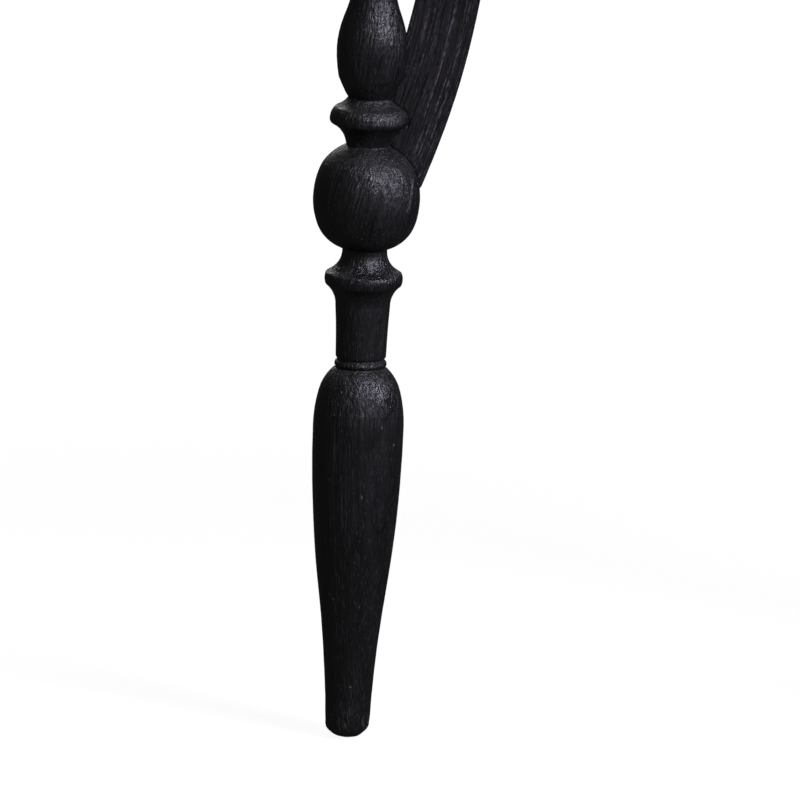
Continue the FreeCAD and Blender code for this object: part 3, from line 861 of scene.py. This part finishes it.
for number, side in enumerate(SIDES):
    further = 10 * number
    fit(turned_leg(side, LEG_SEED + further), leg_wood, side + "_leg")
    fit(sawn_brace(side, BRACE_SEED + further), brace_wood, side + "_brace")
    fit(drawn_peg(side), peg_wood, side + "_brace_peg")
    for wedge in ("_leg_wedge", "_brace_wedge"):
        piece = split_wedge(side, wedge, WEDGE_SEED + further)
        fit(piece, peg_wood, side + wedge)
fit(carved_rest(REST_SEED), rest_wood, "neck_rest")


# --- floor, light and camera --------------------------------------------------------------------

FLOOR_REACH = 9.0
corners = np.array([[-1, -1, 0], [1, -1, 0], [1, 1, 0], [-1, 1, 0]]) * FLOOR_REACH
floor = new_piece("floor", corners, [(0, 1, 2, 3)])
floor.data.materials.append(pale_floor())
floor.visible_diffuse = False
floor.visible_glossy = False

LAMP_AIM_X = -0.07


def soft_lamp(name, azimuth, elevation, distance, width, height, power, tint,
              spread=180, aim_height=0.09):
    """A soft box aimed at the left leg. Azimuth 0 is the camera's side and 90 is to the right."""
    middle = Vector((LAMP_AIM_X, 0, aim_height))
    turn = math.radians(azimuth)
    rise = math.radians(elevation)
    flat = Vector((math.sin(turn), -math.cos(turn), 0)) * math.cos(rise)
    away = flat + Vector((0, 0, math.sin(rise)))
    lamp = bpy.data.lights.new(name, "AREA")
    lamp.shape = "RECTANGLE"
    lamp.size, lamp.size_y = width, height
    lamp.spread = math.radians(spread)
    lamp.energy = power
    lamp.color = tint
    holder = bpy.data.objects.new(name, lamp)
    holder.location = middle + away * distance
    holder.rotation_euler = (-away).to_track_quat("-Z", "Y").to_euler()
    holder.visible_camera = False
    bpy.context.collection.objects.link(holder)


soft_lamp(
    "key_lamp", azimuth=47, elevation=29, distance=0.55, width=0.18, height=0.20,
    power=0.47, tint=(0.96, 0.94, 1.16), spread=60, aim_height=0.125,
)
soft_lamp(
    "overhead_lamp", azimuth=20, elevation=84, distance=1.5, width=1.3, height=1.3,
    power=2.6, tint=(1.0, 0.99, 0.97),
)
soft_lamp(
    "back_lamp", azimuth=184, elevation=20, distance=0.9, width=0.45, height=0.35,
    power=1.8, tint=(1.0, 0.98, 0.98),
)
soft_lamp(
    "high_back_lamp", azimuth=195, elevation=56, distance=1.2, width=0.6, height=0.5,
    power=2.0, tint=(1.0, 0.98, 0.98),
)

# The room is as pale as the floor where it is seen, but gives the wood only a little light,
# most of it from above.
ROOM_SEEN = 0.96
ROOM_FRONT = 0.095
ROOM_BACK = 0.035
ROOM_ABOVE = 0.13


def studio_room():
    """A pale room whose light on the wood differs from its front to its back and its ceiling."""
    room = Finish(bpy.data.worlds.new("studio"), "ShaderNodeOutputWorld")
    way = room.node("ShaderNodeTexCoord", out="Generated")
    depth = room.node("ShaderNodeSeparateXYZ", None, {0: way}, out="Y")
    walls = depth.between(-0.3, 0.6, ROOM_FRONT, ROOM_BACK)
    lit = room.rise_of(way).between(0.1, 0.9, walls, ROOM_ABOVE)
    seen = room.node("ShaderNodeLightPath", out="Is Camera Ray")
    light = {"Color": colour(1.0, 1.0, 1.0), "Strength": seen.between(0.0, 1.0, lit, ROOM_SEEN)}
    return room.finished(room.node("ShaderNodeBackground", None, light))


bpy.context.scene.world = studio_room()

# The camera stands in front of the left leg, a little above it.
CAMERA_RISE = math.radians(12.5)
CAMERA_AWAY = 3.0
VIEW_WIDTH = 159.2 * MM
AIM_RIGHT_OF_FOOT = 10.66 * MM
AIM_HEIGHT = 68.8 * MM


def studio_camera():
    """A long lens aimed beside the left leg, wide enough for the leg and its brace."""
    optics = bpy.data.cameras.new("camera")
    optics.sensor_width = 36
    optics.lens = optics.sensor_width * CAMERA_AWAY / VIEW_WIDTH
    optics.clip_start, optics.clip_end = 0.1, 40
    camera = bpy.data.objects.new("camera", optics)
    aim = Vector((STANDS["left"][0].x + AIM_RIGHT_OF_FOOT, 0, AIM_HEIGHT))
    away = Vector((0, -math.cos(CAMERA_RISE), math.sin(CAMERA_RISE)))
    camera.location = aim + away * CAMERA_AWAY
    camera.rotation_euler = Euler((math.pi / 2 - CAMERA_RISE, 0, 0))
    bpy.context.collection.objects.link(camera)
    return camera


bpy.context.scene.camera = studio_camera()
bpy.context.scene.view_settings.view_transform = "Standard"
